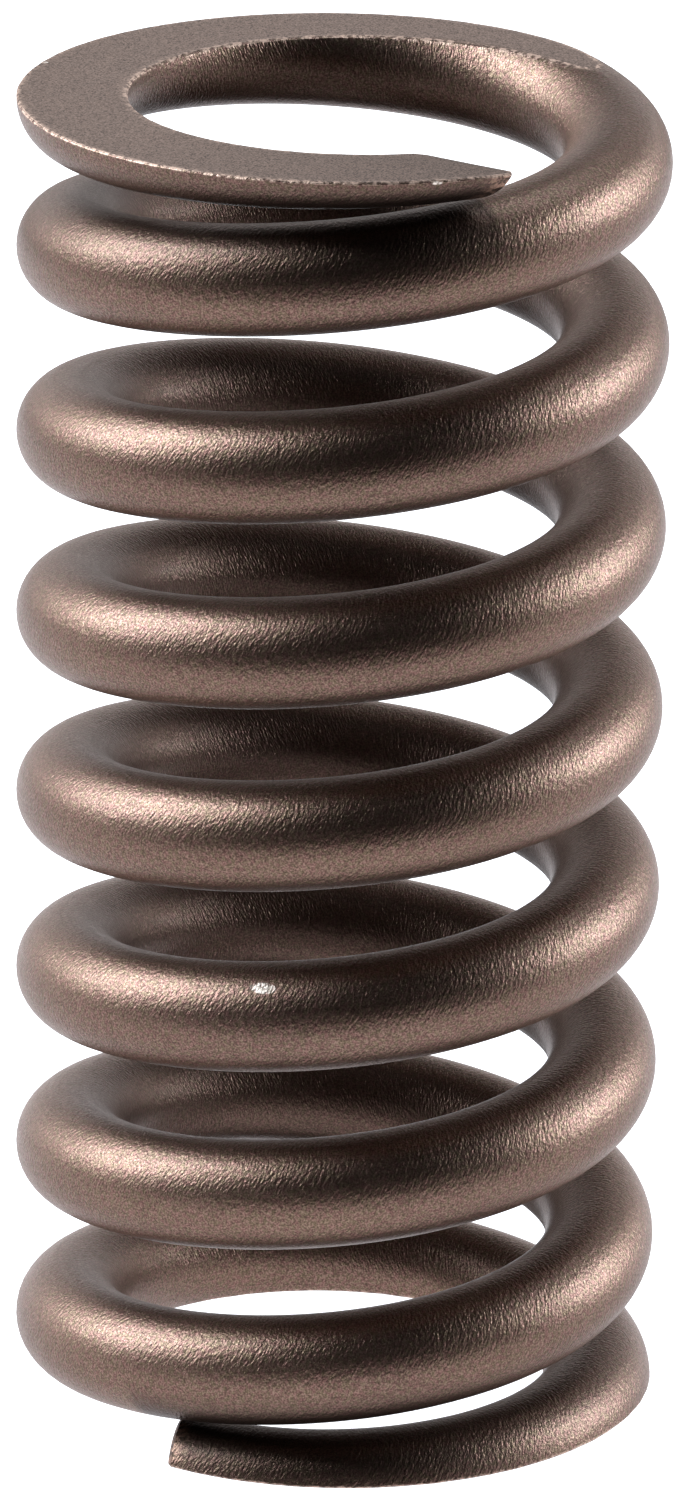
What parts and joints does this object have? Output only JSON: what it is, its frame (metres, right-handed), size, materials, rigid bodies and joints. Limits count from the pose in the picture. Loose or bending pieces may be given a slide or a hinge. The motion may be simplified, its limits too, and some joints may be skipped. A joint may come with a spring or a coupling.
{
  "type": "engine valve spring",
  "caption": "Round-wire helical compression spring with closed, ground ends, which pulls an engine's intake or exhaust valve shut.",
  "frame": {"origin": "on the coil's axis, in the lower ground face that the spring stands on", "axes": "+Z along the coil's axis, from the lower to the upper ground face; both wire tips lie on the -Y side, and the wire climbs counterclockwise seen from above"},
  "size_m": [0.0266, 0.0267, 0.0554],
  "materials": {
    "spring_wire": "satin"
  },
  "bodies": {
    "root": {"valve_spring": "spring_wire"}
  },
  "joints": []
}
